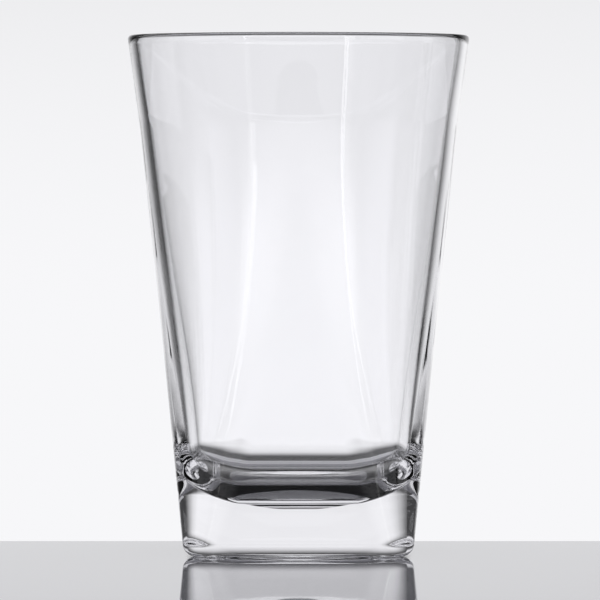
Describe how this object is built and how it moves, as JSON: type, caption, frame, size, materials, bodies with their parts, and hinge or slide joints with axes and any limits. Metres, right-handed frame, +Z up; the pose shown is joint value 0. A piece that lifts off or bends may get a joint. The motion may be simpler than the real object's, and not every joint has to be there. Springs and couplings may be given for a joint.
{
  "type": "pint glass",
  "caption": "Clear heavy-base pint tumbler, round at the rim, with flat sides and rounded corners running down into a thick square foot.",
  "frame": {"origin": "centre of the foot, on the plane that the glass stands on", "axes": "+Z up along the glass's axis; +X and +Y square to two of its four flat sides"},
  "size_m": [0.089, 0.089, 0.1345],
  "materials": {
    "glass": "clear, moulded and fire-polished"
  },
  "bodies": {
    "root": {"pint_glass": "glass"}
  },
  "joints": []
}
